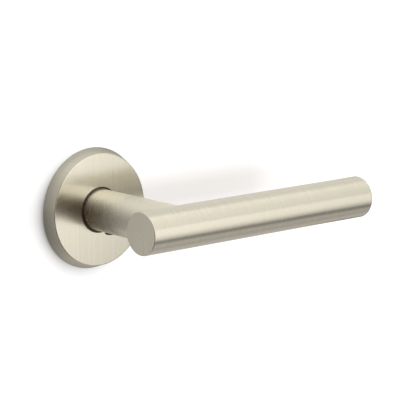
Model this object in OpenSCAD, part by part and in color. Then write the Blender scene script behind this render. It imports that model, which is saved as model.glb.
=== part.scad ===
// Sprung door lever handle on a round rose.
// Origin: on the spindle axis at the door face. +Y goes into the door, the
// handle stands out towards -Y, the grip runs towards +X and +Z is up.
// Inside from_door() the local z is the distance in front of the door face.

/* [Grip] */
// Outside diameter of the round grip bar
bar_d = 19; // [18.5:0.1:20]
// Spindle axis to the free end of the grip
grip_reach = 110.2; // [90:0.1:130]
// Spindle axis to the short end of the grip
grip_stub = 20.2; // [14:0.1:30]
// Door face to the axis of the grip
projection = 58.4; // [52:0.1:70]
// Wall of the grip tube
grip_wall = 1.5; // [1:0.1:2]
// Thickness of each welded end cap
cap_t = 2; // [1.5:0.1:3]
// Broken edge round each grip end
cap_chamfer = 0.35; // [0.1:0.05:0.6]

/* [Neck] */
// Outside diameter of the neck tube
neck_d = 18.8; // [18.5:0.1:18.8]
// Bore of the neck tube
neck_bore_d = 15.8; // [15.6:0.1:16]
// Door face to the axis of the set screw
set_screw_depth = 12.9; // [10:0.1:14]
// Thread diameter of the set screw
set_screw_d = 5; // [4:0.1:5]

/* [Rose] */
// Diameter of the rose cover against the door
rose_d = 55; // [54.6:0.1:56]
// Diameter of the rose cover at its front face
rose_front_d = 50.8; // [50:0.1:51]
// Height of the rose cover in front of the door
rose_t = 5.8; // [5.8:0.1:6.4]
// Sheet thickness of the rose cover
cover_wall = 0.8; // [0.6:0.1:0.8]
// Radius on the front edge of the rose cover
cover_fillet = 0.5; // [0.5:0.1:1]
// Hole in the rose cover round the neck
cover_hole_d = 20.6; // [20.6:0.1:21]

/* [Fixing] */
// Distance between the two through-bolt posts
bolt_centres = 38; // [38:0.1:38.4]
// Distance between the two wood screws
screw_centres = 38; // [38:0.1:38.4]
// How far the posts stand into the door
post_reach = 14; // [10:0.5:20]
// Diameter of the boss that centres the rose in the door
hub_d = 21; // [20.8:0.1:21.4]
// How far the boss stands into the door
hub_reach = 6; // [5.5:0.1:6.5]

/* [Spindle] */
// Width across the flats of the square spindle
spindle_w = 7.95; // [7.9:0.01:8]
// Length of the square spindle
spindle_len = 80; // [70:1:110]
// Clearance all round the spindle in its socket
socket_clear = 0.06; // [0.03:0.01:0.1]

/* [Movement] */
// Turn of the lever from rest to its lower stop, in degrees
lever_travel = 45; // [35:1:50]
// Wire diameter of the return spring
spring_wire = 1.1; // [0.9:0.1:1.1]

/* [Hidden] */

$fn = 96;
over = 1;                                // overshoot of a cutting tool

bar_r = bar_d / 2;
neck_r = neck_d / 2;
plug_r = neck_bore_d / 2;

// stack inside the rose, as heights in front of the door face
plate_t = 1.2;
driver_low = 1.4;
driver_high = 3.8;
pot_high = 3.9;
spring_plate_t = 0.6;
rivet_head_t = 0.45;
neck_start = 4.2;
ring_low = 4.0;
ring_flange_high = 4.9;
ring_high = rose_t - 0.35;

// stack behind the door face, as heights that are negative
bush_flange_t = 0.8;
shim_t = 0.5;
clip_t = 1;
axial_gap = 0.1;
bush_back = -hub_reach - bush_flange_t;
shim_back = bush_back - axial_gap - shim_t;
clip_back = shim_back - clip_t - 0.02;
socket_back = clip_back - 1.6;
socket_front = 32;
socket_depth = 26;

// turned steps of the socket and what runs on them
spigot_r = 7;
drive_flat = 7.1;
groove_r = 6.4;
running_clear = 0.05;
bush_r = 8.6;
driver_r = 11.9;

// spring pot and coil
coil_r = 13;
pot_in_r = 14;
pot_out_r = 14.9;
spring_turns = 1.25;
leg_in_angle = 112.5;
leg_out_angle = leg_in_angle + 360 * spring_turns;
leg_in_r = 10.6;
leg_out_r = 16.4;
leg_bend = 0.9;
coil_low = plate_t + 0.1 + spring_wire / 2;
coil_high = pot_high - 0.1 - spring_wire / 2;

// stop pins in the arc slots of the driver
pin_r = 0.9;
pin_place_r = 11;
pin_angle = 20;
slot_in_r = 9.95;
pin_half_angle = asin(pin_r / pin_place_r) + 0.5;

// outer rim of the base plate and the snap ring in it
plate_r = 25.8;
rim_in_r = 23.2;
rim_out_r = 24.2;
rim_high = 4.3;
snap_wire_r = 0.6;
snap_r = 24.5;
snap_height = 2.6;
snap_gap = 20;

// rivets that hold the spring plate
rivet_place_r = 18;
rivet_r = 1.2;
rivet_boss_r = 2.6;
rivet_angles = [45, 135, 225, 315];

// fixings
post_r = 3.5;
post_flange_r = 3.95;
post_flange_t = 1;
post_thread_r = 1.65;
wood_r = 1.9;
wood_len = 22;
wood_head_r = 3.7;
wood_head_high = 2.5;
wood_head_low = wood_head_high - (wood_head_r - wood_r);
screw_pad_r = 4.4;
screw_pad_high = 2.6;

nickel = [0.80, 0.77, 0.68];
steel = [0.66, 0.67, 0.69];
zinc = [0.58, 0.59, 0.61];
black_nylon = [0.10, 0.10, 0.11];
yellow_zinc = [0.80, 0.72, 0.48];

// ---- helpers ----------------------------------------------------------

// turns a shape so that its local z is the distance in front of the door
module from_door() {
    rotate([90, 0, 0]) children();
}

// solid ring between two radii and two heights
module ring(r_in, r_out, low, high) {
    translate([0, 0, low]) difference() {
        cylinder(r = r_out, h = high - low);
        translate([0, 0, -over]) cylinder(r = r_in, h = high - low + 2 * over);
    }
}

// straight rod between two heights
module rod(r, low, high) {
    translate([0, 0, low]) cylinder(r = r, h = high - low);
}

// places its children at both ends of a line of the given length
module pair_x(distance) {
    for (side = [-1, 1]) translate([side * distance / 2, 0, 0]) children();
}

module pair_y(distance) {
    for (side = [-1, 1]) translate([0, side * distance / 2, 0]) children();
}

function arc(cx, cy, r, from, to, steps) =
    [for (i = [0 : steps])
        let (a = from + (to - from) * i / steps)
        [cx + r * cos(a), cy + r * sin(a)]];

function unit(v) = v / norm(v);

// points of a round wire's cross-section at one place on its path
function wire_ring(centre, along, r, sides) =
    let (across = unit(cross(along, [0, 0, 1])), rise = cross(across, along))
    [for (k = [0 : sides - 1])
        let (a = 360 * k / sides)
        centre + r * (across * cos(a) + rise * sin(a))];

// closed round wire along a list of points
module wire(path, r, sides) {
    last = len(path) - 1;
    points = [for (i = [0 : last])
        each wire_ring(path[i],
            unit(path[min(i + 1, last)] - path[max(i - 1, 0)]), r, sides)];
    walls = [for (i = [0 : last - 1], k = [0 : sides - 1])
        let (next = (k + 1) % sides)
        [i * sides + k, i * sides + next,
         (i + 1) * sides + next, (i + 1) * sides + k]];
    start_cap = [[for (k = [sides - 1 : -1 : 0]) k]];
    end_cap = [[for (k = [0 : sides - 1]) last * sides + k]];
    polyhedron(points, concat(walls, start_cap, end_cap), convexity = 8);
}

// ---- lever: everything that turns -------------------------------------

// tube of the grip, closed at both ends by the welded caps
module grip_tube() {
    length = grip_reach + grip_stub - 2 * cap_t;
    color(nickel)
    translate([-grip_stub + cap_t, -projection, 0]) rotate([0, 90, 0])
    ring(bar_r - grip_wall, bar_r, 0, length);
}

// end cap: a disc flush with the tube and a spigot inside it
module grip_cap() {
    spigot = 4;
    cylinder(r1 = bar_r - cap_chamfer, r2 = bar_r, h = cap_chamfer);
    translate([0, 0, cap_chamfer]) cylinder(r = bar_r, h = cap_t - cap_chamfer);
    translate([0, 0, cap_t - 0.2]) cylinder(r = bar_r - grip_wall, h = spigot + 0.2);
}

module grip_end_cap() {
    color(nickel)
    translate([grip_reach, -projection, 0]) rotate([0, -90, 0]) grip_cap();
}

module grip_stub_cap() {
    color(nickel)
    translate([-grip_stub, -projection, 0]) rotate([0, 90, 0]) grip_cap();
}

// neck tube, coped to sit on the back of the grip
module neck_tube() {
    end = projection - 0.9;
    hole_r = set_screw_d / 2 + 0.2;
    color(nickel)
    difference() {
        from_door() ring(plug_r, neck_r, neck_start, end);
        translate([-2 * bar_d, -projection, 0]) rotate([0, 90, 0])
            cylinder(r = bar_r, h = 4 * bar_d);
        translate([0, -set_screw_depth, -bar_d]) cylinder(r = hole_r, h = bar_d);
    }
}

// turned core pressed into the neck, with the square hole for the spindle
module spindle_socket() {
    hole_w = spindle_w + 2 * socket_clear;
    color(steel)
    difference() {
        from_door() difference() {
            union() {
                rod(plug_r, driver_high, socket_front);
                intersection() {
                    rod(plug_r, driver_low, driver_high);
                    translate([-drive_flat, -bar_d, 0]) cube([2 * drive_flat, 2 * bar_d, bar_d]);
                }
                rod(spigot_r, socket_back, driver_low);
            }
            ring(groove_r, bar_r, clip_back - 0.05, clip_back + clip_t + 0.05);
            translate([-hole_w / 2, -hole_w / 2, socket_back - over])
                cube([hole_w, hole_w, socket_depth - socket_back + over]);
        }
        translate([0, -set_screw_depth, -bar_d])
            cylinder(r = set_screw_d / 2, h = bar_d);
    }
}

// grub screw that locks the spindle; its end with the hexagon stands out a little
module set_screw() {
    tip = spindle_w / 2 + 0.03;
    screw_r = set_screw_d / 2 - 0.03;
    length = 6;
    cone_h = 0.7;
    across_flats = 2.5;
    color(steel)
    translate([0, -set_screw_depth, -tip - length]) difference() {
        union() {
            cylinder(r = screw_r, h = length - cone_h);
            translate([0, 0, length - cone_h])
                cylinder(r1 = screw_r, r2 = screw_r - cone_h, h = cone_h);
        }
        translate([0, 0, -over])
            cylinder(d = across_flats / cos(30), h = 2.2 + over, $fn = 6);
    }
}

// square bar with turned ends
module spindle() {
    front = socket_depth - 2;
    corner = spindle_w / 2 * sqrt(2);
    turned = 0.9;
    color(steel)
    from_door() intersection() {
        translate([-spindle_w / 2, -spindle_w / 2, front - spindle_len])
            cube([spindle_w, spindle_w, spindle_len]);
        union() {
            translate([0, 0, front - spindle_len])
                cylinder(r1 = corner - turned, r2 = corner + 0.1, h = turned + 0.1);
            rod(corner + 0.1, front - spindle_len + turned + 0.1, front - turned - 0.1);
            translate([0, 0, front - turned - 0.1])
                cylinder(r1 = corner + 0.1, r2 = corner - turned, h = turned + 0.1);
        }
    }
}

// one arc slot of the driver, measured from the rest place of its stop pin
module driver_slot(angle) {
    sweep = lever_travel + 2 * pin_half_angle;
    translate([0, 0, driver_low - over]) rotate([0, 0, angle - pin_half_angle])
    rotate_extrude(angle = sweep)
    translate([slot_in_r, 0]) square([driver_r, driver_high - driver_low + 2 * over]);
}

// cam that turns with the socket, winds the spring and meets the stops
module spring_driver() {
    notch_w = spring_wire + 0.3;
    notch_low = coil_high - spring_wire / 2 - 0.1;
    flat_clear = 0.04;
    color(yellow_zinc)
    from_door() difference() {
        rod(driver_r, driver_low, driver_high);
        intersection() {
            rod(plug_r + flat_clear, 0, 2 * driver_high);
            translate([-drive_flat - flat_clear, -bar_d, 0])
                cube([2 * (drive_flat + flat_clear), 2 * bar_d, 2 * driver_high]);
        }
        driver_slot(pin_angle);
        driver_slot(pin_angle + 180);
        rotate([0, 0, leg_in_angle])
            translate([leg_in_r - 0.9, -leg_bend - notch_w / 2, notch_low])
            cube([driver_r, notch_w, driver_high]);
    }
}

module shim_washer() {
    color(steel)
    from_door() ring(spigot_r + 0.1, bush_r + 1.2, shim_back, shim_back + shim_t);
}

// external retaining ring with two plier holes, open at the bottom
module retaining_circlip() {
    outer_r = 8.5;
    ear_r = 1.5;
    ear_place = 8.6;
    ear_angle = 17;
    gap = 10;
    color(steel)
    from_door() translate([0, 0, clip_back]) difference() {
        union() {
            cylinder(r = outer_r, h = clip_t);
            for (side = [-1, 1]) rotate([0, 0, -90 + side * ear_angle])
                translate([ear_place, 0, 0]) cylinder(r = ear_r, h = clip_t);
        }
        translate([0, 0, -over]) cylinder(r = groove_r + 0.05, h = clip_t + 2 * over);
        translate([0, 0, -over]) rotate([0, 0, -90 - gap])
            rotate_extrude(angle = 2 * gap) square([2 * outer_r, clip_t + 2 * over]);
        for (side = [-1, 1]) rotate([0, 0, -90 + side * ear_angle])
            translate([ear_place, 0, -over]) cylinder(r = 0.65, h = clip_t + 2 * over);
    }
}

// ---- rose: everything that stays on the door ---------------------------

// pressed cover with a sloping side, a small front radius and a round hole
module rose_cover() {
    back_r = rose_d / 2;
    front_r = rose_front_d / 2;
    slope = atan2(back_r - front_r, rose_t);
    side_t = cover_wall / cos(slope);
    fillet_x = front_r - cover_fillet * tan(45 - slope / 2);
    inner_front_r = front_r + cover_wall * tan(slope) - side_t;
    color(nickel)
    from_door() rotate_extrude() polygon(concat(
        [[back_r - side_t, 0], [back_r, 0]],
        arc(fillet_x, rose_t - cover_fillet, cover_fillet, slope, 90, 5),
        [[cover_hole_d / 2, rose_t],
         [cover_hole_d / 2, rose_t - cover_wall],
         [inner_front_r, rose_t - cover_wall]]));
}

// dark nylon ring that closes the gap between the neck and the cover
module neck_ring() {
    color(black_nylon)
    from_door() difference() {
        union() {
            rod(cover_hole_d / 2 - 0.06, ring_low, ring_high);
            rod(cover_hole_d / 2 + 1.3, ring_low, ring_flange_high);
        }
        rod(neck_r + running_clear, 0, 2 * ring_high);
    }
}

// cast plate that carries the bearing, the spring pot and the fixings
module base_plate() {
    slot_w = spring_wire + 0.4;
    color(zinc)
    from_door() difference() {
        union() {
            rod(plate_r, 0, plate_t);
            rod(hub_d / 2, -hub_reach, plate_t);
            ring(pot_in_r, pot_out_r, plate_t - 0.1, pot_high);
            ring(rim_in_r, rim_out_r, plate_t - 0.1, rim_high);
            for (a = rivet_angles) rotate([0, 0, a]) translate([rivet_place_r, 0, 0])
                rod(rivet_boss_r, plate_t - 0.1, pot_high);
            pair_y(screw_centres) rod(screw_pad_r, plate_t - 0.1, screw_pad_high);
        }
        rod(bush_r, -2 * hub_reach, 2 * plate_t);
        translate([0, 0, snap_height]) rotate_extrude()
            translate([snap_r, 0]) circle(r = snap_wire_r + 0.05);
        pair_x(bolt_centres) rod(post_r, -over, 2 * plate_t);
        for (a = rivet_angles) rotate([0, 0, a]) translate([rivet_place_r, 0, 0])
            rod(rivet_r, -over, 2 * pot_high);
        pair_y(screw_centres) {
            rod(wood_r + 0.15, -over, screw_pad_high);
            translate([0, 0, wood_head_low])
                cylinder(r1 = wood_r + 0.15, r2 = wood_r + 2.15, h = 2);
        }
        for (a = [0, 180]) rotate([0, 0, pin_angle + a]) translate([pin_place_r, 0, 0])
            rod(pin_r, 0.15, 2 * plate_t);
        rotate([0, 0, leg_out_angle]) translate([coil_r, leg_bend - slot_w / 2, plate_t])
            cube([leg_out_r - coil_r - 1, slot_w, pot_high]);
    }
}

// flanged nylon sleeve that the socket turns in
module bearing_bush() {
    color(black_nylon)
    from_door() difference() {
        union() {
            rod(bush_r, -hub_reach - bush_flange_t, plate_t);
            rod(hub_d / 2 - 0.5, bush_back, -hub_reach);
        }
        rod(spigot_r + running_clear, 2 * bush_back, 2 * plate_t);
    }
}

// path of one leg: straight and radial, then a bend into the coil
function leg_path(angle, tip_r, height, turn, outward) =
    let (centre_r = coil_r + outward * leg_bend,
         spot = function(r, s) [r * cos(angle) - s * sin(angle),
                                r * sin(angle) + s * cos(angle), height])
    concat([spot(tip_r, -turn * leg_bend)],
        [for (i = [0 : 4])
            let (a = 90 * i / 4)
            spot(centre_r - outward * leg_bend * sin(a), -turn * leg_bend * cos(a))]);

function reversed(list) = [for (i = [len(list) - 1 : -1 : 0]) list[i]];

// torsion spring: the outer leg is held by the pot, the inner one by the driver
module return_spring() {
    steps = round(40 * spring_turns);
    coil = [for (i = [1 : steps - 1])
        let (t = i / steps, a = leg_out_angle - 360 * spring_turns * t)
        [coil_r * cos(a), coil_r * sin(a), coil_low + (coil_high - coil_low) * t]];
    outer_leg = leg_path(leg_out_angle, leg_out_r, coil_low, -1, 1);
    inner_leg = reversed(leg_path(leg_in_angle, leg_in_r, coil_high, 1, -1));
    color(steel)
    from_door() wire(concat(outer_leg, coil, inner_leg), spring_wire / 2, 10);
}

// thin plate with four ears that keeps the coil in its pot
module spring_plate() {
    high = pot_high + spring_plate_t;
    color(steel)
    from_door() difference() {
        union() {
            rod(pot_out_r, pot_high, high);
            for (a = rivet_angles) rotate([0, 0, a]) {
                translate([rivet_place_r, 0, 0]) rod(rivet_boss_r, pot_high, high);
                translate([pot_in_r, -rivet_boss_r, pot_high])
                    cube([rivet_place_r - pot_in_r, 2 * rivet_boss_r, spring_plate_t]);
            }
        }
        rod(driver_r + 0.1, 0, 2 * high);
        for (a = rivet_angles) rotate([0, 0, a]) translate([rivet_place_r, 0, 0])
            rod(rivet_r, 0, 2 * high);
    }
}

module plate_rivets() {
    top = pot_high + spring_plate_t;
    color(steel)
    from_door() for (a = rivet_angles) rotate([0, 0, a])
    translate([rivet_place_r, 0, 0]) {
        rod(rivet_r, 0.1, top + rivet_head_t);
        rod(rivet_r + 0.8, top, top + rivet_head_t);
    }
}

module stop_pins() {
    color(steel)
    from_door() for (a = [0, 180]) rotate([0, 0, pin_angle + a])
    translate([pin_place_r, 0, 0]) rod(pin_r, 0.15, driver_high - 0.2);
}

// open wire ring in the rim of the base plate that grips the cover
module cover_snap_ring() {
    color(steel)
    from_door() translate([0, 0, snap_height]) rotate([0, 0, -90 + snap_gap / 2])
    rotate_extrude(angle = 360 - snap_gap)
    translate([snap_r, 0]) circle(r = snap_wire_r, $fn = 32);
}

// threaded posts that stand into the door and take the through bolts
module bolt_posts() {
    chamfer = 0.6;
    color(steel)
    from_door() pair_x(bolt_centres) difference() {
        union() {
            translate([0, 0, -post_reach])
                cylinder(r1 = post_r - chamfer, r2 = post_r, h = chamfer);
            rod(post_r, -post_reach + chamfer, plate_t);
            rod(post_flange_r, plate_t, plate_t + post_flange_t);
        }
        rod(post_thread_r, -post_reach - over, plate_t);
    }
}

// countersunk wood screws with a cross recess
module wood_screws() {
    point = 4;
    slot = 0.9;
    color(yellow_zinc)
    from_door() pair_y(screw_centres) difference() {
        union() {
            translate([0, 0, wood_head_low])
                cylinder(r1 = wood_r, r2 = wood_head_r, h = wood_head_high - wood_head_low);
            rod(wood_r, wood_head_high - wood_len + point, wood_head_low);
            translate([0, 0, wood_head_high - wood_len])
                cylinder(r1 = 0.2, r2 = wood_r, h = point);
        }
        for (turn = [0, 90]) rotate([0, 0, turn])
            translate([-2, -slot / 2, wood_head_high - 1.4]) cube([4, slot, 2]);
    }
}

grip_tube();
grip_end_cap();
grip_stub_cap();
neck_tube();
spindle_socket();
set_screw();
spindle();
spring_driver();
shim_washer();
retaining_circlip();
rose_cover();
neck_ring();
base_plate();
bearing_bush();
return_spring();
spring_plate();
plate_rivets();
stop_pins();
cover_snap_ring();
bolt_posts();
wood_screws();
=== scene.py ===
import math

import bmesh
import bpy
from mathutils import Matrix, Vector


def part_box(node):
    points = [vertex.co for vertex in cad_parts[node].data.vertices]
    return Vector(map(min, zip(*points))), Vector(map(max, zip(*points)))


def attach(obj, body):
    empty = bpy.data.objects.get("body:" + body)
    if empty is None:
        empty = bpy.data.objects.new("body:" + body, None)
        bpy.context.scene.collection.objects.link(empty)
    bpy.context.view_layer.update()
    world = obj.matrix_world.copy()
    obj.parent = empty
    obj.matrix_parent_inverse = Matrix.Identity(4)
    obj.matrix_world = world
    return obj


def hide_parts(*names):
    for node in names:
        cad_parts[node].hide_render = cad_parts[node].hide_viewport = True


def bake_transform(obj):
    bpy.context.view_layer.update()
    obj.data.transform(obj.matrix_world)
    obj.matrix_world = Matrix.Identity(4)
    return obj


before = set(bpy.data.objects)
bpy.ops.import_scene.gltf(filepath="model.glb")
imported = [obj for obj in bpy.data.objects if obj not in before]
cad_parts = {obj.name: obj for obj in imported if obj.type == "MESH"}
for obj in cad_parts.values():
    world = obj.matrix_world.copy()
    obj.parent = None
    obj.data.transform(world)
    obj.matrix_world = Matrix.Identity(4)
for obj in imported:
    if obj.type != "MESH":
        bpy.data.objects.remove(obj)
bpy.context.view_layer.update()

MM = 0.001
TURN = 2 * math.pi

# ---- sizes, worked out from the imported model or given ---------------------------

grip_low, grip_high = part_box("grip_tube")
stub_low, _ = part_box("grip_stub_cap")
_, end_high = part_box("grip_end_cap")
neck_low, neck_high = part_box("neck_tube")
cover_low, cover_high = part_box("rose_cover")
gap_ring_low, gap_ring_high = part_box("neck_ring")
lock_screw_low, lock_screw_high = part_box("set_screw")

BAR_R = (grip_high.z - grip_low.z) / 2
BAR_Y = (grip_high.y + grip_low.y) / 2
BAR_WALL = 1.5 * MM
CAP_SPIGOT = 4 * MM
NECK_R = (neck_high.x - neck_low.x) / 2
NECK_BORE_R = 7.9 * MM
ROSE_R = (cover_high.x - cover_low.x) / 2
ROSE_FRONT_R = 25.4 * MM
ROSE_H = -cover_low.y
COVER_WALL = 0.8 * MM
HOLE_R = 10.3 * MM
LOCK_SCREW_Y = (lock_screw_low.y + lock_screw_high.y) / 2
LOCK_SCREW_R = (lock_screw_high.x - lock_screw_low.x) / 2

AROUND = 192              # steps round the large turned pieces
SUPPORT = 0.12 * MM       # width of the flat band beside a rounded edge


# ---- mesh helpers ---------------------------------------------------------------

def smooth(mesh, angle=35):
    """Smooth shading with sharp edges where two faces turn by more than the angle."""
    for polygon in mesh.polygons:
        polygon.use_smooth = True
    mesh.set_sharp_from_angle(angle=math.radians(angle))


def link(name, mesh):
    piece = bpy.data.objects.new(name, mesh)
    bpy.context.scene.collection.objects.link(piece)
    return piece


def quarter(radius, height, rounding, start, stop, steps=6):
    """Points of an arc in a lathe profile, angles in degrees."""
    points = []
    for i in range(steps + 1):
        a = math.radians(start + (stop - start) * i / steps)
        points.append((radius + rounding * math.cos(a), height + rounding * math.sin(a)))
    return points


def at_angle(value, a):
    """A radius or height in a profile is a number or a function of the angle."""
    return value(a) if callable(value) else value


def lathe(name, profile, place, grain, around=AROUND):
    """Turns a closed profile of (radius, height) points into a closed mesh.

    A function of the angle makes a hexagon, a thread or a coped end, and a radius of 0
    is a pole. place maps (radius, angle, height) to the row frame. grain maps the same
    three values to the two lengths, across and along the brushing, that are kept as the
    UV map "grain".
    """
    rings = []
    mesh = bmesh.new()
    for radius, height in profile:
        if radius == 0:
            rings.append([mesh.verts.new(place(0, 0, height))] * around)
            continue
        angles = [TURN * k / around for k in range(around)]
        rings.append([mesh.verts.new(place(at_angle(radius, a), a, at_angle(height, a)))
                      for a in angles])
    uv = mesh.loops.layers.uv.new("grain")
    count = len(rings)
    for i in range(count):
        j = (i + 1) % count
        for k in range(around):
            n = (k + 1) % around
            corners = ((rings[i][k], i, k), (rings[i][n], i, k + 1),
                       (rings[j][n], j, k + 1), (rings[j][k], j, k))
            kept = [corner for m, corner in enumerate(corners)
                    if corner[0] is not corners[m - 1][0]]
            if len(kept) < 3:
                continue
            face = mesh.faces.new([corner[0] for corner in kept])
            for loop, (_, ring, step) in zip(face.loops, kept):
                radius, height = profile[ring]
                a = TURN * step / around
                loop[uv].uv = grain(at_angle(radius, a), a, at_angle(height, a))
    bmesh.ops.recalc_face_normals(mesh, faces=mesh.faces)
    data = bpy.data.meshes.new(name)
    mesh.to_mesh(data)
    mesh.free()
    smooth(data)
    return link(name, data)


def disc_ends(profile):
    """Closes a solid lathe profile with a pole on its axis at each end."""
    return [(0, profile[0][1])] + profile + [(0, profile[-1][1])]


def along_x(centre_y, centre_z=0.0):
    return lambda r, a, h: Vector((h, centre_y - r * math.cos(a), centre_z + r * math.sin(a)))


def from_door(centre_x=0.0, centre_z=0.0):
    """Height is the distance in front of the door, so it runs towards -Y."""
    return lambda r, a, h: Vector((centre_x + r * math.cos(a), -h, centre_z + r * math.sin(a)))


def up_z(centre_x, centre_y):
    return lambda r, a, h: Vector((centre_x + r * math.cos(a), centre_y + r * math.sin(a), h))


def across_flats(width, sides):
    """Radius of a regular polygon as a function of the angle."""
    half = math.pi / sides
    return lambda a: width / 2 / math.cos((a + half) % (2 * half) - half)


def cut_out(piece, cutter, crossing=False, angle=35):
    """Takes the cutter away from the piece. crossing says that the cutter's own parts cross."""
    cut = piece.modifiers.new("cut", "BOOLEAN")
    cut.object = cutter
    cut.solver = "EXACT"
    cut.use_self = crossing
    depsgraph = bpy.context.evaluated_depsgraph_get()
    result = bpy.data.meshes.new_from_object(piece.evaluated_get(depsgraph))
    piece.modifiers.clear()
    piece.data = result
    bpy.data.objects.remove(cutter)
    smooth(result, angle)


# ---- shader node helpers and groups ----------------------------------------------

def node(tree, kind, links=None, **settings):
    """Adds a node. settings are its properties, links maps its inputs to values or sockets."""
    made = tree.nodes.new(kind)
    for key, value in settings.items():
        setattr(made, key, value)
    for key, value in (links or {}).items():
        if isinstance(value, bpy.types.NodeSocket):
            tree.links.new(value, made.inputs[key])
        else:
            made.inputs[key].default_value = value
    return made


def math_node(tree, operation, a, b=0.0, c=0.0):
    made = tree.nodes.new("ShaderNodeMath")
    made.operation = operation
    for index, value in enumerate((a, b, c)):
        if isinstance(value, bpy.types.NodeSocket):
            tree.links.new(value, made.inputs[index])
        else:
            made.inputs[index].default_value = value
    return made.outputs[0]


def new_group(name, inputs, outputs):
    tree = bpy.data.node_groups.new(name, "ShaderNodeTree")
    for label, kind, value in inputs:
        socket = tree.interface.new_socket(label, in_out="INPUT", socket_type=kind)
        if value is not None:
            socket.default_value = value
    for label, kind in outputs:
        tree.interface.new_socket(label, in_out="OUTPUT", socket_type=kind)
    return tree, tree.nodes.new("NodeGroupInput"), tree.nodes.new("NodeGroupOutput")


def stretched_noise(tree, vector, across, along, detail=3.0, rough=0.6):
    """Noise drawn out along the second coordinate, like brush or tool marks."""
    scale = node(tree, "ShaderNodeCombineXYZ", {"X": across, "Y": along, "Z": 1.0})
    coords = node(tree, "ShaderNodeVectorMath", {0: vector, 1: scale.outputs[0]},
                  operation="MULTIPLY")
    return node(tree, "ShaderNodeTexNoise",
                {"Vector": coords.outputs[0], "Scale": 1.0, "Detail": detail,
                 "Roughness": rough}).outputs["Fac"]


def brushing_group():
    """Fine parallel brush lines with a slow drift, as a height, a tone and a gloss change."""
    tree, start, end = new_group(
        "brushing",
        [("Place", "NodeSocketVector", None),
         ("Fine Lines", "NodeSocketFloat", 3000.0),
         ("Coarse Lines", "NodeSocketFloat", 900.0),
         ("Stretch", "NodeSocketFloat", 45.0)],
        [("Height", "NodeSocketFloat"), ("Tone", "NodeSocketFloat"),
         ("Gloss", "NodeSocketFloat")])
    place = start.outputs["Place"]
    fine = stretched_noise(tree, place, start.outputs["Fine Lines"], start.outputs["Stretch"])
    coarse = stretched_noise(tree, place, start.outputs["Coarse Lines"],
                             math_node(tree, "MULTIPLY", start.outputs["Stretch"], 0.6), 2.0)
    cloud = node(tree, "ShaderNodeTexNoise",
                 {"Vector": place, "Scale": 95.0, "Detail": 2.0, "Roughness": 0.5}).outputs["Fac"]
    height = math_node(tree, "ADD", math_node(tree, "MULTIPLY", fine, 0.6),
                       math_node(tree, "MULTIPLY", coarse, 0.4))
    mottle = node(tree, "ShaderNodeTexNoise",
                  {"Vector": place, "Scale": 800.0, "Detail": 3.0, "Roughness": 0.6}).outputs["Fac"]
    patches = math_node(tree, "ADD", math_node(tree, "MULTIPLY", cloud, 0.2),
                        math_node(tree, "MULTIPLY", mottle, 0.2))
    tone = math_node(tree, "ADD", math_node(tree, "MULTIPLY", fine, 0.35),
                     math_node(tree, "ADD", math_node(tree, "MULTIPLY", coarse, 0.25), patches))
    gloss = math_node(tree, "ADD", math_node(tree, "MULTIPLY", coarse, 0.5),
                      math_node(tree, "MULTIPLY", cloud, 0.5))
    tree.links.new(height, end.inputs["Height"])
    for label, value in (("Tone", tone), ("Gloss", gloss)):
        spread_out = node(tree, "ShaderNodeMapRange",
                          {"Value": value, "From Min": 0.30, "From Max": 0.70})
        tree.links.new(spread_out.outputs[0], end.inputs[label])
    return tree


def edge_group():
    """Mask of worn edges: 1 where the surface turns within the given radius, broken up."""
    tree, start, end = new_group(
        "worn_edges",
        [("Place", "NodeSocketVector", None), ("Radius", "NodeSocketFloat", 0.0003),
         ("Break Up", "NodeSocketFloat", 900.0)],
        [("Mask", "NodeSocketFloat")])
    bevel = node(tree, "ShaderNodeBevel", {"Radius": start.outputs["Radius"]}, samples=4)
    flat = tree.nodes.new("ShaderNodeNewGeometry").outputs["Normal"]
    turn = node(tree, "ShaderNodeVectorMath", {0: bevel.outputs[0], 1: flat},
                operation="DOT_PRODUCT").outputs["Value"]
    mask = node(tree, "ShaderNodeMapRange",
                {"Value": turn, "From Min": 0.999, "From Max": 0.93, "To Min": 0.0, "To Max": 1.0})
    patchy = node(tree, "ShaderNodeTexNoise",
                  {"Vector": start.outputs["Place"], "Scale": start.outputs["Break Up"],
                   "Detail": 2.0}).outputs["Fac"]
    result = math_node(tree, "MULTIPLY", mask.outputs[0],
                       math_node(tree, "ADD", math_node(tree, "MULTIPLY", patchy, 0.8), 0.4))
    result.node.use_clamp = True
    tree.links.new(result, end.inputs["Mask"])
    return tree


def grit_group():
    """Cast or moulded surface: fine bumps, larger unevenness and a few pits."""
    tree, start, end = new_group(
        "grit",
        [("Place", "NodeSocketVector", None), ("Grain", "NodeSocketFloat", 2500.0)],
        [("Height", "NodeSocketFloat"), ("Tone", "NodeSocketFloat")])
    place = start.outputs["Place"]
    fine = node(tree, "ShaderNodeTexNoise",
                {"Vector": place, "Scale": start.outputs["Grain"], "Detail": 4.0}).outputs["Fac"]
    slow = node(tree, "ShaderNodeTexNoise",
                {"Vector": place, "Scale": 160.0, "Detail": 3.0}).outputs["Fac"]
    pits = node(tree, "ShaderNodeTexVoronoi",
                {"Vector": place, "Scale": 700.0}).outputs["Distance"]
    pit = node(tree, "ShaderNodeMapRange",
               {"Value": pits, "From Min": 0.0, "From Max": 0.22}).outputs[0]
    height = math_node(tree, "ADD", math_node(tree, "MULTIPLY", fine, 0.5),
                       math_node(tree, "MULTIPLY", pit, 0.5))
    tone = math_node(tree, "ADD", math_node(tree, "MULTIPLY", fine, 0.4),
                     math_node(tree, "MULTIPLY", slow, 0.6))
    tree.links.new(height, end.inputs["Height"])
    tree.links.new(tone, end.inputs["Tone"])
    return tree


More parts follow.
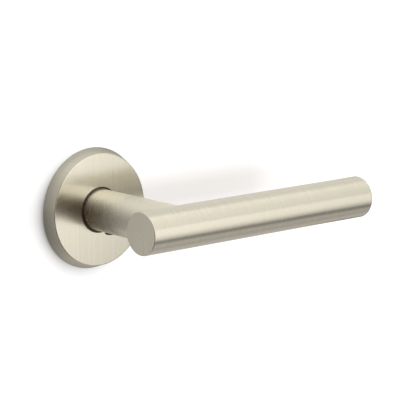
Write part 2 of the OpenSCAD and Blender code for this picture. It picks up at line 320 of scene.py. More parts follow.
def crown_group():
    """Height of a face that falls away very slightly from its middle, in metres."""
    tree, start, end = new_group(
        "crown", [("Place", "NodeSocketVector", None), ("Fall", "NodeSocketFloat", 1.5)],
        [("Height", "NodeSocketFloat")])
    flat = node(tree, "ShaderNodeVectorMath", {0: start.outputs["Place"], 1: (1.0, 0.0, 1.0)},
                operation="MULTIPLY")
    square = node(tree, "ShaderNodeVectorMath", {0: flat.outputs[0], 1: flat.outputs[0]},
                  operation="DOT_PRODUCT").outputs["Value"]
    drop = math_node(tree, "MULTIPLY", square, start.outputs["Fall"])
    tree.links.new(math_node(tree, "MULTIPLY", drop, -1.0), end.inputs["Height"])
    return tree


BRUSHING = brushing_group()
CROWN = crown_group()
WORN_EDGES = edge_group()
GRIT = grit_group()


def use_group(tree, group, links):
    made = tree.nodes.new("ShaderNodeGroup")
    made.node_tree = group
    for key, value in links.items():
        if isinstance(value, bpy.types.NodeSocket):
            tree.links.new(value, made.inputs[key])
        else:
            made.inputs[key].default_value = value
    return made


def blank_material(name):
    material = bpy.data.materials.new(name)
    material.use_nodes = True
    tree = material.node_tree
    tree.nodes.clear()
    shader = tree.nodes.new("ShaderNodeBsdfPrincipled")
    out = tree.nodes.new("ShaderNodeOutputMaterial")
    tree.links.new(shader.outputs[0], out.inputs["Surface"])
    return material, tree, shader


def between(tree, factor, low, high):
    """Straight blend from low to high by a 0 to 1 factor."""
    return node(tree, "ShaderNodeMapRange",
                {"Value": factor, "From Min": 0.0, "From Max": 1.0,
                 "To Min": low, "To Max": high}).outputs[0]


def colour_blend(tree, factor, low, high):
    mix = tree.nodes.new("ShaderNodeMix")
    mix.data_type = "RGBA"
    for socket, value in ((mix.inputs[0], factor), (mix.inputs[6], low), (mix.inputs[7], high)):
        if isinstance(value, bpy.types.NodeSocket):
            tree.links.new(value, socket)
        elif isinstance(value, float):
            socket.default_value = value
        else:
            socket.default_value = (*value, 1.0)
    return mix.outputs[2]


def brushed_nickel(name, roughness, anisotropy, bump, stretch=45.0, fall=0.0, low=1.0, high=1.0):
    """Satin nickel: brush lines follow the UV map "grain", gloss is drawn out across them.

    low and high scale the darkest and lightest tone of the brush lines.
    """
    material, tree, shader = blank_material(name)
    grain = node(tree, "ShaderNodeUVMap", uv_map="grain").outputs[0]
    place = tree.nodes.new("ShaderNodeTexCoord").outputs["Object"]
    lines = use_group(tree, BRUSHING, {"Place": grain, "Stretch": stretch})
    worn = use_group(tree, WORN_EDGES, {"Place": place})
    nickel = colour_blend(tree, lines.outputs["Tone"],
                          [low * value for value in (0.690, 0.664, 0.580)],
                          [high * value for value in (0.800, 0.770, 0.680)])
    worn_nickel = colour_blend(tree, between(tree, worn.outputs["Mask"], 0.0, 0.35),
                               nickel, (0.86, 0.835, 0.76))
    tree.links.new(worn_nickel, shader.inputs["Base Color"])
    gloss = between(tree, lines.outputs["Gloss"], roughness - 0.05, roughness + 0.05)
    tree.links.new(gloss, shader.inputs["Roughness"])
    shader.inputs["Metallic"].default_value = 1.0
    shader.inputs["Anisotropic"].default_value = anisotropy
    tangent = node(tree, "ShaderNodeTangent", direction_type="UV_MAP", uv_map="grain")
    tree.links.new(tangent.outputs[0], shader.inputs["Tangent"])
    relief = node(tree, "ShaderNodeBump",
                  {"Height": lines.outputs["Height"], "Strength": bump, "Distance": 0.00002})
    if fall:
        crown = use_group(tree, CROWN, {"Place": place, "Fall": fall})
        bowed = node(tree, "ShaderNodeBump",
                     {"Height": crown.outputs["Height"], "Strength": 1.0, "Distance": 1.0})
        tree.links.new(bowed.outputs[0], relief.inputs["Normal"])
    tree.links.new(relief.outputs[0], shader.inputs["Normal"])
    return material


def machined_metal(name, dark, light, roughness, marks=2600.0, wear=0.5):
    """Turned, drawn or plated metal with tool marks along the spindle, on object coordinates."""
    material, tree, shader = blank_material(name)
    place = tree.nodes.new("ShaderNodeTexCoord").outputs["Object"]
    lines = use_group(tree, BRUSHING, {"Place": place, "Fine Lines": marks,
                                       "Coarse Lines": marks / 5, "Stretch": 260.0})
    worn = use_group(tree, WORN_EDGES, {"Place": place, "Radius": 0.00025})
    body = colour_blend(tree, lines.outputs["Tone"], dark, light)
    bright = [min(1.0, value * 1.25) for value in light]
    colour = colour_blend(tree, between(tree, worn.outputs["Mask"], 0.0, wear), body, bright)
    tree.links.new(colour, shader.inputs["Base Color"])
    gloss = between(tree, lines.outputs["Gloss"], roughness - 0.08, roughness + 0.08)
    tree.links.new(gloss, shader.inputs["Roughness"])
    shader.inputs["Metallic"].default_value = 1.0
    relief = node(tree, "ShaderNodeBump",
                  {"Height": lines.outputs["Height"], "Strength": 0.25, "Distance": 0.00002})
    tree.links.new(relief.outputs[0], shader.inputs["Normal"])
    return material


def gritty(name, dark, light, roughness, metallic, grain, bump):
    """Die-cast metal or moulded nylon."""
    material, tree, shader = blank_material(name)
    place = tree.nodes.new("ShaderNodeTexCoord").outputs["Object"]
    grit = use_group(tree, GRIT, {"Place": place, "Grain": grain})
    worn = use_group(tree, WORN_EDGES, {"Place": place, "Radius": 0.0003})
    body = colour_blend(tree, grit.outputs["Tone"], dark, light)
    bright = [min(1.0, value * 1.35) for value in light]
    colour = colour_blend(tree, between(tree, worn.outputs["Mask"], 0.0, 0.5), body, bright)
    tree.links.new(colour, shader.inputs["Base Color"])
    gloss = between(tree, grit.outputs["Tone"], roughness - 0.1, roughness + 0.1)
    tree.links.new(gloss, shader.inputs["Roughness"])
    shader.inputs["Metallic"].default_value = metallic
    relief = node(tree, "ShaderNodeBump",
                  {"Height": grit.outputs["Height"], "Strength": bump, "Distance": 0.00005})
    tree.links.new(relief.outputs[0], shader.inputs["Normal"])
    return material


NICKEL_BAR = brushed_nickel("satin_nickel_bar", 0.24, anisotropy=0.92, bump=0.12, stretch=30.0,
                            low=0.96, high=1.02)
# the neck's copy of the nickel is painted lighter (low and high above 1): painted light that brightens
# its dim reflections
NICKEL_NECK = brushed_nickel("satin_nickel_neck", 0.28, anisotropy=0.80, bump=0.04, stretch=10.0,
                             low=1.10, high=1.08)
NICKEL_FACE = brushed_nickel("satin_nickel_face", 0.26, anisotropy=0.80, bump=0.25, stretch=20.0,
                             low=0.85, high=1.10)
# the rose's copy of the nickel is painted darker (low and high below 1): painted shade on the cover
NICKEL_ROSE = brushed_nickel("satin_nickel_rose", 0.24, anisotropy=0.80, bump=0.12, stretch=25.0,
                             fall=1.1, low=0.88, high=0.94)
TURNED_STEEL = machined_metal("bright_turned_steel", (0.42, 0.42, 0.43), (0.60, 0.60, 0.61), 0.30)
ZINC_PLATE = machined_metal("zinc_plate", (0.46, 0.48, 0.51), (0.62, 0.64, 0.67), 0.33,
                            marks=1500.0)
YELLOW_ZINC = machined_metal("yellow_zinc", (0.50, 0.38, 0.16), (0.70, 0.60, 0.34), 0.32,
                             marks=1500.0)
SPRING_STEEL = machined_metal("oiled_spring_steel", (0.14, 0.14, 0.15), (0.26, 0.26, 0.27), 0.36,
                              marks=1500.0)
BLACK_STEEL = machined_metal("black_steel", (0.03, 0.03, 0.032), (0.07, 0.07, 0.075), 0.42,
                             marks=1500.0, wear=0.3)
CAST_ZINC = gritty("die_cast_zinc", (0.36, 0.37, 0.39), (0.50, 0.51, 0.53), 0.48,
                   metallic=1.0, grain=2200.0, bump=0.35)
BLACK_NYLON = gritty("moulded_black_nylon", (0.012, 0.011, 0.011), (0.030, 0.028, 0.027), 0.50,
                     metallic=0.0, grain=3000.0, bump=0.25)
# dark nylon of the ring, tinted warm brown as painted shade of the gap round the neck
RING_NYLON = gritty("moulded_dark_nylon", (0.040, 0.027, 0.018), (0.075, 0.054, 0.038), 0.45,
                    metallic=0.0, grain=3000.0, bump=0.2)


def finish_piece(piece, material, body, slot, *nodes):
    """body is None for a piece that bends between the two bodies."""
    piece.data.materials.clear()
    piece.data.materials.append(material)
    if body:
        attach(piece, body)
    if nodes:
        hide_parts(*nodes)
    return piece


# ---- grip, neck and rose ---------------------------------------------------------

def bar_grain(r, a, h):
    return (h, a * BAR_R)


def round_grain(r, a, h):
    """Grain of small round parts: lines run round them."""
    return (h, a * r)


def grip_tube():
    inner = BAR_R - BAR_WALL
    profile = [(inner, grip_low.x), (BAR_R, grip_low.x), (BAR_R, grip_high.x),
               (inner, grip_high.x)]
    piece = lathe("grip_tube_turned", profile, along_x(BAR_Y), bar_grain)
    finish_piece(piece, NICKEL_BAR, "lever", "satin_nickel", "grip_tube")


def grip_cap(name, outside, inside, soft, replaced):
    """Flat end with a softly broken edge; the spigot goes into the tube."""
    way = 1 if inside > outside else -1
    spigot_r = BAR_R - BAR_WALL
    rim = quarter(BAR_R - soft, soft, soft, -90, 0)
    profile = [(BAR_R - soft - SUPPORT, 0)] + rim + [
        (BAR_R, soft + SUPPORT), (BAR_R, abs(inside - outside) - CAP_SPIGOT),
        (spigot_r, abs(inside - outside) - CAP_SPIGOT), (spigot_r, abs(inside - outside))]
    profile = [(r, outside + way * h) for r, h in disc_ends(profile)]

    def grain(r, a, h):
        flat = abs(h - outside) < soft * 0.5
        return (-r * math.cos(a), r * math.sin(a)) if flat else bar_grain(r, a, h)

    piece = lathe(name, profile, along_x(BAR_Y), grain)
    finish_piece(piece, NICKEL_FACE, "lever", "satin_nickel", replaced)
    piece.data.materials.append(NICKEL_BAR)
    for polygon in piece.data.polygons:
        polygon.material_index = 0 if abs(polygon.normal.x) > 0.8 else 1


def neck_tube():
    """Neck with its end coped to the back of the grip and the screw hole underneath."""
    def cope(r, a):
        drop = r * math.sin(a)
        return -BAR_Y - math.sqrt(max(BAR_R ** 2 - drop ** 2, 0.0))

    start = -neck_high.y
    soft = 0.15 * MM
    first = start + soft + SUPPORT
    profile = [(NECK_R - soft, start), (NECK_R, start + soft)]
    for share in (0.0, 0.05, 0.1, 0.15, 0.2, 0.25, 0.3, 0.4, 0.5, 0.6, 0.7, 0.8, 0.9, 1.0):
        profile.append((NECK_R, lambda a, s=share: first + s * (cope(NECK_R, a) - first)))
    profile += [(NECK_BORE_R, lambda a: cope(NECK_BORE_R, a)), (NECK_BORE_R, start)]
    piece = lathe("neck_coped", profile, from_door(), lambda r, a, h: (h, a * NECK_R))

    hole_r = LOCK_SCREW_R + 0.23 * MM
    hole = disc_ends([(hole_r, -NECK_R - 1 * MM), (hole_r, -NECK_R + 4 * MM)])
    drill = lathe("neck_drill", hole, up_z(0, LOCK_SCREW_Y), round_grain, 64)
    cut_out(piece, drill, angle=40)
    finish_piece(piece, NICKEL_NECK, "lever", "satin_nickel", "neck_tube")


def rose_cover():
    """Pressed cover: sloping side, rounded front edge, flat face and a crisp round hole."""
    slope = math.degrees(math.atan2(ROSE_R - ROSE_FRONT_R, ROSE_H))
    fold = 0.45 * MM
    foot = 0.15 * MM
    lip = 0.25 * MM
    lean = math.tan(math.radians(slope))
    fold_r = ROSE_FRONT_R - fold * math.tan(math.radians(45 - slope / 2))
    rim = quarter(fold_r, ROSE_H - fold, fold, slope, 90, 8)
    wall_r = lambda h: ROSE_R - lean * h
    outside = [(wall_r(foot) - foot, 0), (wall_r(foot), foot), (wall_r(foot + SUPPORT), foot + SUPPORT),
               (wall_r(ROSE_H / 2), ROSE_H / 2),
               (rim[0][0] + lean * SUPPORT, rim[0][1] - SUPPORT)] + rim
    face = [(fold_r - SUPPORT, ROSE_H), (HOLE_R + lip + SUPPORT, ROSE_H)]
    hole = quarter(HOLE_R + lip, ROSE_H - lip, lip, 90, 180, 4)
    inner_front = wall_r(ROSE_H) - COVER_WALL
    inside = [(HOLE_R, ROSE_H - COVER_WALL), (inner_front, ROSE_H - COVER_WALL),
              (ROSE_R - COVER_WALL, 0)]

    def grain(r, a, h):
        if h > ROSE_H - fold * 0.9:
            return (r * math.cos(a), r * math.sin(a))
        return (h, a * ROSE_R)

    piece = lathe("rose_cover_pressed", outside + face + hole + inside, from_door(), grain, 256)
    finish_piece(piece, NICKEL_ROSE, "rose", "satin_nickel", "rose_cover")


def neck_ring():
    """Nylon ring in the gap between neck and cover; its warm brown tint is painted shade of the gap."""
    low, flange, high = 4.0 * MM, 4.9 * MM, -gap_ring_low.y
    bore = NECK_R + 0.05 * MM
    sleeve = HOLE_R - 0.06 * MM
    soft = 0.12 * MM
    profile = [(bore, low), (gap_ring_high.x, low), (gap_ring_high.x, flange), (sleeve, flange),
               (sleeve, high - soft), (sleeve - soft, high), (bore + soft, high), (bore, high - soft)]
    piece = lathe("neck_ring_moulded", profile, from_door(), round_grain)
    finish_piece(piece, RING_NYLON, "rose", "black_nylon", "neck_ring")


def set_screw():
    """Grub screw with a cone end and a hexagon socket, reached from below."""
    r = LOCK_SCREW_R
    bottom, top = lock_screw_low.z, lock_screw_high.z
    hexagon = across_flats(2.5 * MM, 6)
    chamfer = 0.4 * MM
    wall = 0.25 * MM
    profile = [(0, bottom + 2.2 * MM), (hexagon, bottom + 2.2 * MM),
               (hexagon, bottom + wall), (lambda a: hexagon(a) + wall, bottom),
               (r - chamfer, bottom), (r, bottom + chamfer), (r, top - 0.7 * MM),
               (r - 0.7 * MM, top), (0, top)]
    piece = lathe("set_screw_hex", profile, up_z(0, LOCK_SCREW_Y), round_grain, 72)
    smooth(piece.data, 25)
    finish_piece(piece, BLACK_STEEL, "lever", "black_oxide_steel", "set_screw")


grip_tube()
grip_cap("grip_end_turned", end_high.x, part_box("grip_end_cap")[0].x, 0.5 * MM, "grip_end_cap")
grip_cap("grip_stub_turned", stub_low.x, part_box("grip_stub_cap")[1].x, 0.4 * MM, "grip_stub_cap")
neck_tube()
rose_cover()
neck_ring()
set_screw()


# ---- pieces built with geometry nodes ------------------------------------------------

def geometry_tree(name, inputs):
    tree = bpy.data.node_groups.new(name, "GeometryNodeTree")
    tree.interface.new_socket("Geometry", in_out="INPUT", socket_type="NodeSocketGeometry")
    for label, kind, value in inputs:
        socket = tree.interface.new_socket(label, in_out="INPUT", socket_type=kind)
        if value is not None:
            socket.default_value = value
    tree.interface.new_socket("Geometry", in_out="OUTPUT", socket_type="NodeSocketGeometry")
    return tree, tree.nodes.new("NodeGroupInput"), tree.nodes.new("NodeGroupOutput")


def close_tree(tree, start, end, last):
    """Ends a tree with real geometry that carries the chosen material."""
    real = node(tree, "GeometryNodeRealizeInstances", {0: last})
    painted = node(tree, "GeometryNodeSetMaterial",
                   {"Geometry": real.outputs[0], "Material": start.outputs["Material"]})
    tree.links.new(painted.outputs[0], end.inputs[0])


def spread_round_tree():
    """Copies one part to equal places on a circle round the spindle."""
    tree, start, end = geometry_tree(
        "spread_round",
        [("Count", "NodeSocketInt", 2), ("Place Radius", "NodeSocketFloat", 0.019),
         ("First Angle", "NodeSocketFloat", 0.0), ("Material", "NodeSocketMaterial", None)])
    step = math_node(tree, "DIVIDE", TURN, start.outputs["Count"])
    index = tree.nodes.new("GeometryNodeInputIndex").outputs[0]
    angle = math_node(tree, "MULTIPLY_ADD", index, step, start.outputs["First Angle"])
    spot = node(tree, "ShaderNodeCombineXYZ",
                {"X": math_node(tree, "MULTIPLY", math_node(tree, "COSINE", angle),
                                start.outputs["Place Radius"]),
                 "Z": math_node(tree, "MULTIPLY", math_node(tree, "SINE", angle),
                                start.outputs["Place Radius"])})
    points = node(tree, "GeometryNodePoints",
                  {"Count": start.outputs["Count"], "Position": spot.outputs[0]})
    copies = node(tree, "GeometryNodeInstanceOnPoints",
                  {"Points": points.outputs[0], "Instance": start.outputs["Geometry"]})
    close_tree(tree, start, end, copies.outputs[0])
    return tree


def wire_tree():
    """Draws a round wire of the given radius along an edge path."""
    tree, start, end = geometry_tree(
        "wire", [("Wire Radius", "NodeSocketFloat", 0.00055), ("Sides", "NodeSocketInt", 16),
                 ("Material", "NodeSocketMaterial", None)])
    path = node(tree, "GeometryNodeMeshToCurve", {0: start.outputs["Geometry"]})
    section = node(tree, "GeometryNodeCurvePrimitiveCircle",
                   {"Resolution": start.outputs["Sides"], "Radius": start.outputs["Wire Radius"]})
    drawn = node(tree, "GeometryNodeCurveToMesh",
                 {"Curve": path.outputs[0], "Profile Curve": section.outputs[0],
                  "Fill Caps": True})
    close_tree(tree, start, end, drawn.outputs[0])
    return tree


def run_tree(piece, tree, values):
    modifier = piece.modifiers.new("build", "NODES")
    modifier.node_group = tree
    for item in tree.interface.items_tree:
        if item.item_type == "SOCKET" and item.in_out == "INPUT" and item.name in values:
            modifier[item.identifier] = values[item.name]
    depsgraph = bpy.context.evaluated_depsgraph_get()
    built = bpy.data.meshes.new_from_object(piece.evaluated_get(depsgraph))
    piece.modifiers.clear()
    piece.data = built
    mesh = bmesh.new()
    mesh.from_mesh(built)
    bmesh.ops.recalc_face_normals(mesh, faces=mesh.faces)
    mesh.to_mesh(built)
    mesh.free()
    smooth(built)
    return piece


SPREAD_ROUND = spread_round_tree()
WIRE = wire_tree()


def spread(piece, count, place_r, first, material, slot, replaced):
    run_tree(piece, SPREAD_ROUND, {"Count": count, "Place Radius": place_r,
                                   "First Angle": first, "Material": material})
    finish_piece(piece, material, "rose", slot, replaced)


def thread(root, crest, pitch, height):
    """Radius round a thread of one start at this height."""
    def size(a):
        share = (height / pitch - a / TURN) % 1.0
        return root + (crest - root) * max(0.0, 1 - abs(share - 0.5) / 0.32)
    return size


def rivets():
    low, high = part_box("plate_rivets")
    back, top = -high.y, -low.y
    head, shank, head_t = 2.0 * MM, 1.2 * MM, 0.45 * MM
    dome = [(head * math.cos(t), top - head_t + 0.1 * MM + (head_t - 0.1 * MM) * math.sin(t))
            for t in [math.radians(v) for v in range(0, 90, 12)]]
    profile = disc_ends([(shank - 0.15 * MM, back), (shank, back + 0.15 * MM),
                         (shank, top - head_t), (head, top - head_t)] + dome
                        + [(0.15 * MM, top)])
    piece = lathe("rivets_domed", profile, from_door(), round_grain, 40)
    spread(piece, 4, 18 * MM, math.pi / 4, ZINC_PLATE, "zinc_plated_steel", "plate_rivets")


def posts():
    low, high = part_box("bolt_posts")
    back, top = -high.y, -low.y
    outer, flange, flange_t, chamfer = 3.5 * MM, 3.95 * MM, 1 * MM, 0.6 * MM
    bore_end = top - flange_t
    pitch = 0.7 * MM
    heights = [back + 0.5 * MM + i * pitch / 6 for i in range(100)]
    bore = [(2.05 * MM, back), (2.0 * MM, back + 0.1 * MM)]
    bore += [(thread(1.98 * MM, 1.66 * MM, pitch, h), h) for h in heights if h < bore_end - 2 * MM]
    profile = bore + [(1.65 * MM, bore_end - 1.7 * MM), (0, bore_end - 1.2 * MM),
                      (0, top), (flange - 0.15 * MM, top), (flange, top - 0.15 * MM),
                      (flange, top - flange_t), (outer, top - flange_t),
                      (outer, back + chamfer), (outer - chamfer, back)]
    piece = lathe("posts_threaded", profile, from_door(), round_grain, 48)
    spread(piece, 2, 19 * MM, 0.0, ZINC_PLATE, "zinc_plated_steel", "bolt_posts")


def cross_cutter(top, depth, reach, width):
    """Two tapered blades at right angles, as left by a cross-head punch."""
    mesh = bmesh.new()
    for turned in (False, True):
        corners = []
        for level, share in ((top + 0.5 * MM, 1.1), (top - depth, 0.55)):
            for x, z in ((-1, -1), (1, -1), (1, 1), (-1, 1)):
                a, b = x * reach * share, z * width / 2
                spot = (b, -level, a) if turned else (a, -level, b)
                corners.append(mesh.verts.new(spot))
        for quad in ((0, 1, 2, 3), (7, 6, 5, 4), (0, 4, 5, 1), (1, 5, 6, 2), (2, 6, 7, 3),
                     (3, 7, 4, 0)):
            mesh.faces.new([corners[i] for i in quad])
    bmesh.ops.recalc_face_normals(mesh, faces=mesh.faces)
    data = bpy.data.meshes.new("cross")
    mesh.to_mesh(data)
    mesh.free()
    return link("cross", data)


def screws():
    low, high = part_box("wood_screws")
    tip, top = -high.y, -low.y
    head, crest, root = 3.7 * MM, 1.9 * MM, 1.35 * MM
    neck = top - (head - crest)
    pitch = 1.8 * MM
    point = 5 * MM
    profile = [(0, tip)]
    height = tip + 0.3 * MM
    while height < neck - 3 * MM:
        share = min(1.0, (height - tip) / point)
        profile.append((thread(root * share, crest * min(1.0, share * 1.15), pitch, height),
                        height))
        height += pitch / 7
    profile += [(root, height + 0.3 * MM), (root + 0.1 * MM, neck - 0.6 * MM), (crest, neck),
                (head - 0.12 * MM, top - 0.12 * MM), (head - 0.2 * MM, top), (0, top)]
    piece = lathe("screws_threaded", profile, from_door(), round_grain, 48)
    cut_out(piece, cross_cutter(top, 1.4 * MM, 1.95 * MM, 0.9 * MM), crossing=True)
    spread(piece, 2, 19 * MM, math.pi / 2, YELLOW_ZINC, "yellow_passivate", "wood_screws")


def spring():
    """Coil of one and a quarter turns with a radial leg at each end."""
    low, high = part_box("return_spring")
    wire_r, coil_r, bend = 0.55 * MM, 13 * MM, 0.9 * MM
    start, stop = -high.y + wire_r, -low.y - wire_r
    first, last = math.radians(562.5), math.radians(112.5)
    outer_tip, inner_tip = 16.4 * MM, 10.6 * MM

    def leg(angle, tip, height, way, outward):
        centre = coil_r + outward * bend
        spots = [(tip, -way * bend)]
        for i in range(9):
            a = math.pi / 2 * i / 8
            spots.append((centre - outward * bend * math.sin(a), -way * bend * math.cos(a)))
        return [(r * math.cos(angle) - s * math.sin(angle), -height,
                 r * math.sin(angle) + s * math.cos(angle)) for r, s in spots]

    coil = []
    for i in range(1, 120):
        share = i / 120
        a = first + (last - first) * share
        coil.append((coil_r * math.cos(a), -(start + (stop - start) * share),
                     coil_r * math.sin(a)))
    path = leg(first, outer_tip, start, -1, 1) + coil + leg(last, inner_tip, stop, 1, -1)[::-1]
    data = bpy.data.meshes.new("spring_wound")
    data.from_pydata(path, [(i, i + 1) for i in range(len(path) - 1)], [])
    piece = run_tree(link("spring_wound", data), WIRE,
                     {"Wire Radius": wire_r - 0.025 * MM, "Sides": 16,
                      "Material": SPRING_STEEL})
    finish_piece(piece, SPRING_STEEL, None, "spring_steel", "return_spring")
    # the outer leg stays in the base plate, the inner leg turns with the driver
    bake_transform(piece)


rivets()
posts()
screws()
spring()


# ---- finishes of the pieces that keep their CAD shape ------------------------------

CAD_FINISHES = {
    "spindle_socket": TURNED_STEEL, "spindle": ZINC_PLATE, "spring_driver": YELLOW_ZINC,
    "shim_washer": ZINC_PLATE, "retaining_circlip": SPRING_STEEL, "base_plate": CAST_ZINC,
    "bearing_bush": BLACK_NYLON, "spring_plate": ZINC_PLATE, "stop_pins": TURNED_STEEL,
    "cover_snap_ring": SPRING_STEEL,
}
for name, material in CAD_FINISHES.items():
    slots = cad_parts[name].data.materials
    slots.clear()
    slots.append(material)


# ---- wall, light and camera --------------------------------------------------------

WARM = (1.0, 0.968, 0.90)           # tint of the lights
WALL_PAINT = (0.63, 0.69, 0.71)
WALL_LIFT = (1.0, 0.90, 0.90, 1.0)  # faint warm light that keeps shadows on the wall pale
LIFT_STRENGTH = 0.47
# painted shadow of the rose: SHADOW_SHIFT, SHADOW_START, SHADOW_FADE and SHADOW_DEPTH darken the wall's
# paint and glow round the rose; WALL_PAINT and WALL_LIFT are tinted so that this painted shadow comes
# out pinkish
SHADOW_SHIFT = (3.4 * MM, 0.0, 0.9 * MM)  # the rose's shadow lies down and to the left
SHADOW_START = 23.7 * MM
SHADOW_FADE = 3.1 * MM
SHADOW_DEPTH = 0.70
DARK_SIDE = (0.035, 0.013, 0.004)   # brown shade of the room on the viewer's side
PEAK = 1.4                          # brightness that the full scale of the bands stands for

# brightness of the long soft lights round the handle, by pitch in degrees:
# 0 is straight ahead of the door, 90 overhead, -90 below
LIGHT_BANDS = [(-180, 0.42), (-110, 0.38), (-88, 0.40), (-81, 0.49), (-67, 0.60), (-55, 0.52),
               (-50, 0.29), (-42, 0.27), (-36, 0.56), (-27, 0.90), (-13, 1.21), (3, 1.28),
               (20, 1.26), (23, 1.07), (45, 1.08), (88, 1.10), (94, 1.02), (96, 0.80),
               (180, 0.80)]


def ramp(tree, value, start, stop, low=0.0, high=1.0, kind="LINEAR"):
    """Goes from low at start to high at stop, and stays level outside them."""
    return node(tree, "ShaderNodeMapRange",
                {"Value": value, "From Min": start, "From Max": stop, "To Min": low,
                 "To Max": high}, interpolation_type=kind).outputs[0]


def wall_glow(tree, place):
    """Painted glow of the wall as the metal sees it, by place on the wall, with painted shade near the
    rose and a painted dark strip to the right.
    """
    spot = node(tree, "ShaderNodeSeparateXYZ", {0: place})
    x, z = spot.outputs["X"], spot.outputs["Z"]
    upper_right = ramp(tree, math_node(tree, "ADD", z, math_node(tree, "MULTIPLY", x, 0.5)),
                       -0.022, 0.035)
    reach = node(tree, "ShaderNodeVectorMath", {0: place},
                 operation="LENGTH").outputs["Value"]
    # painted shade, darkest just left of the rose
    left = ramp(tree, math_node(tree, "ABSOLUTE", math_node(tree, "ADD", x, 0.034)),
                0.0, 0.017, 0.75, 1.45)
    near_rose = math_node(tree, "MULTIPLY", left, ramp(tree, x, -0.040, -0.015, 0.21, 0.42))
    shaded = ramp(tree, reach, 0.028, 0.065, near_rose, 0.57)
    open_wall = ramp(tree, upper_right, 0.0, 1.0, shaded, 0.87)
    # painted contact shade right round the rose's edge, deepest on its right
    beside = ramp(tree, x, 0.0, 0.02, 0.66, 0.30)
    painted_contact_shade = ramp(tree, reach, 0.0275, 0.040, beside, 1.0)
    # painted dark strip on the wall's glow, standing in for a dark part of the room, to the right at
    # the height of the handle
    painted_dark_strip = ramp(tree, math_node(tree, "ABSOLUTE", math_node(tree, "ADD", z, 0.035)),
                 0.075, 0.045)
    dimmed = math_node(tree, "MULTIPLY", painted_dark_strip, ramp(tree, x, 0.152, 0.172))
    return math_node(tree, "MULTIPLY", math_node(tree, "MULTIPLY", open_wall, painted_contact_shade),
                     between(tree, dimmed, 1.0, 0.2))


def wall():
    """Pale wall behind the rose, seen from the front only, with a painted shadow of the rose and a
    painted glow for reflections.
    """
    half = 0.9
    data = bpy.data.meshes.new("wall")
    data.from_pydata([(-half, 0, -half), (half, 0, -half), (half, 0, half), (-half, 0, half)],
                     [], [(0, 1, 2, 3)])
    plane = link("wall", data)
    plane.location.y = 0.2 * MM

    material = bpy.data.materials.new("wall_paint")
    material.use_nodes = True
    tree = material.node_tree
    tree.nodes.clear()
    out = tree.nodes.new("ShaderNodeOutputMaterial")
    geometry = tree.nodes.new("ShaderNodeNewGeometry")
    path = tree.nodes.new("ShaderNodeLightPath")
    place = geometry.outputs["Position"]

    # painted soft shadow of the rose, darkening the wall's paint and its faint glow: 0 is full shadow,
    # 1 is open wall
    aside = node(tree, "ShaderNodeVectorMath", {0: place, 1: SHADOW_SHIFT}, operation="ADD")
    away = node(tree, "ShaderNodeVectorMath", {0: aside.outputs[0]},
                operation="LENGTH").outputs["Value"]
    fading = math_node(tree, "DIVIDE", math_node(tree, "SUBTRACT", SHADOW_START, away),
                       SHADOW_FADE)
    shadow = math_node(tree, "MULTIPLY", math_node(tree, "EXPONENT", fading), SHADOW_DEPTH)
    halo = math_node(tree, "SUBTRACT", 1.0, shadow)
    halo.node.use_clamp = True

    # the wall's paint colour carries the painted shadow of the rose
    paint = node(tree, "ShaderNodeBsdfDiffuse",
                 {"Color": colour_blend(tree, halo, (0.0, 0.0, 0.0), WALL_PAINT)})
    lift = node(tree, "ShaderNodeEmission",
                {"Color": WALL_LIFT,
                 "Strength": math_node(tree, "MULTIPLY", halo, LIFT_STRENGTH)})
    seen = node(tree, "ShaderNodeAddShader", {0: paint.outputs[0], 1: lift.outputs[0]})
    # painted glow that the metal sees in reflections; camera rays see the paint instead
    painted_wall_glow = node(tree, "ShaderNodeEmission",
                    {"Color": (*WARM, 1), "Strength": wall_glow(tree, place)})
    front = node(tree, "ShaderNodeMixShader",
                 {0: path.outputs["Is Camera Ray"], 1: painted_wall_glow.outputs[0], 2: seen.outputs[0]})
    clear = tree.nodes.new("ShaderNodeBsdfTransparent")
    result = node(tree, "ShaderNodeMixShader",
                  {0: geometry.outputs["Backfacing"], 1: front.outputs[0], 2: clear.outputs[0]})
    tree.links.new(result.outputs[0], out.inputs["Surface"])
    data.materials.append(material)


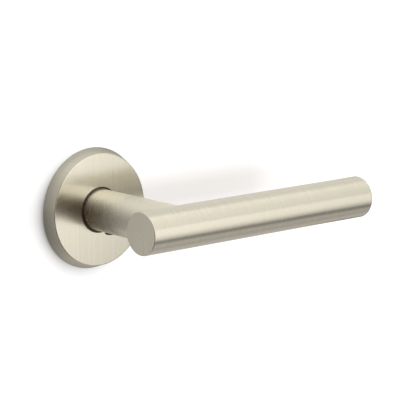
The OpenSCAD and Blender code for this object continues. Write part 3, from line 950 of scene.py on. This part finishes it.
def studio_world():
    """Long soft light bands above and in front, a darker side where the viewer stands."""
    world = bpy.data.worlds.new("studio")
    bpy.context.scene.world = world
    world.use_nodes = True
    tree = world.node_tree
    tree.nodes.clear()
    out = tree.nodes.new("ShaderNodeOutputWorld")
    way = tree.nodes.new("ShaderNodeTexCoord").outputs["Generated"]
    part = node(tree, "ShaderNodeSeparateXYZ", {0: way})
    right, rise = part.outputs["X"], part.outputs["Z"]
    front = math_node(tree, "MULTIPLY", part.outputs["Y"], -1.0)
    pitch = math_node(tree, "ARCTAN2", rise, front)
    bands = node(tree, "ShaderNodeValToRGB", {"Fac": ramp(tree, pitch, -math.pi, math.pi)})
    stops = bands.color_ramp.elements
    for index, (degrees, level) in enumerate(LIGHT_BANDS):
        stop = (degrees + 180) / 360
        element = stops[index] if index < 2 else stops.new(stop)
        element.position = stop
        element.color = tuple(level / PEAK * tint for tint in WARM) + (1,)

    # a little brighter in the middle, falling off to the right and more so below
    centre = ramp(tree, right, 0.35, 0.60, 1.22, 1.0, "SMOOTHSTEP")
    ahead = ramp(tree, front, -0.15, 0.25)
    low_right = ramp(tree, rise, -0.1, -0.6, 0.92, 0.80)
    fall = ramp(tree, right, 0.62, 0.71, 1.04, low_right)
    far = ramp(tree, right, 0.75, 0.87, 1.0, 0.12)
    side = math_node(tree, "MULTIPLY", fall, between(tree, ahead, 1.0, far))
    lifted = node(tree, "ShaderNodeVectorMath",
                  {0: bands.outputs[0], "Scale": math_node(tree, "MULTIPLY", centre, side)},
                  operation="SCALE")

    # the dark side of the room, on the left in front of the door
    slant = node(tree, "ShaderNodeVectorMath", {0: way, 1: (0.85, 0.0, 0.30)},
                 operation="DOT_PRODUCT")
    shade = ramp(tree, slant.outputs["Value"], 0.16, -0.42, kind="SMOOTHSTEP")
    mixed = colour_blend(tree, math_node(tree, "MULTIPLY", shade, ahead), lifted.outputs[0],
                         DARK_SIDE)

    light = node(tree, "ShaderNodeBackground", {"Color": mixed, "Strength": PEAK})
    blank = node(tree, "ShaderNodeBackground", {"Color": (1, 1, 1, 1), "Strength": 1.05})
    path = tree.nodes.new("ShaderNodeLightPath")
    result = node(tree, "ShaderNodeMixShader",
                  {0: path.outputs["Is Camera Ray"], 1: light.outputs[0], 2: blank.outputs[0]})
    tree.links.new(result.outputs[0], out.inputs["Surface"])


def key_light():
    """Wide soft light in front, kept out of reflections; it throws the shadow on the wall."""
    lamp = bpy.data.lights.new("key", "AREA")
    lamp.shape = "RECTANGLE"
    lamp.size = 0.42
    lamp.size_y = 0.14
    lamp.energy = 1.9
    holder = bpy.data.objects.new("key", lamp)
    bpy.context.scene.collection.objects.link(holder)
    holder.location = (0.05, -0.6, -0.01)
    aim = Vector((0.04, 0, 0)) - holder.location
    holder.rotation_mode = "QUATERNION"
    holder.rotation_quaternion = aim.to_track_quat("-Z", "Y")
    holder.visible_glossy = False
    holder.visible_camera = False


def camera():
    """Long lens, from the left, a little above the handle."""
    place = Vector((-0.544662, -0.693280, 0.172924))
    azimuth, elevation, roll = (math.radians(v) for v in (-41.53, 11.11, 0.19))
    back = Vector((math.sin(azimuth) * math.cos(elevation),
                   -math.cos(azimuth) * math.cos(elevation), math.sin(elevation)))
    right = (-back).cross(Vector((0, 0, 1))).normalized()
    up = right.cross(-back)
    right, up = (right * math.cos(roll) + up * math.sin(roll),
                 up * math.cos(roll) - right * math.sin(roll))
    lens = bpy.data.cameras.new("camera")
    lens.sensor_width = 36.0
    lens.lens = 173.077
    lens.clip_start, lens.clip_end = 0.05, 20
    holder = bpy.data.objects.new("camera", lens)
    bpy.context.scene.collection.objects.link(holder)
    turn = Matrix((right, up, back)).transposed().to_4x4()
    holder.matrix_world = Matrix.Translation(place) @ turn
    bpy.context.scene.camera = holder


wall()
studio_world()
key_light()
camera()
bpy.context.scene.view_settings.view_transform = "Standard"
